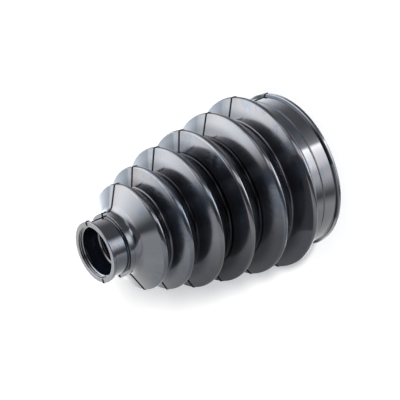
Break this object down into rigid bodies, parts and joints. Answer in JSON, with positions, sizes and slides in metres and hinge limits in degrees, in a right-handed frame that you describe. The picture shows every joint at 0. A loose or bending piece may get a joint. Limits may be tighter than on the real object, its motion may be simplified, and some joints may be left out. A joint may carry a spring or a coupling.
{
  "type": "cv joint boot",
  "caption": "Tapered black rubber bellows boot for a driveshaft joint, with ring folds between a narrow shaft collar and a wide rimmed collar, open at both ends.",
  "frame": {"origin": "centre of the large rim's end face, which the boot stands on", "axes": "+Z along the boot's axis from the large rim to the small collar; the mould's parting plane is the XZ plane"},
  "size_m": [0.0948, 0.0942, 0.1287],
  "materials": {
    "rubber": "glossy moulded rubber"
  },
  "bodies": {
    "root": {"boot": "rubber"}
  },
  "joints": []
}
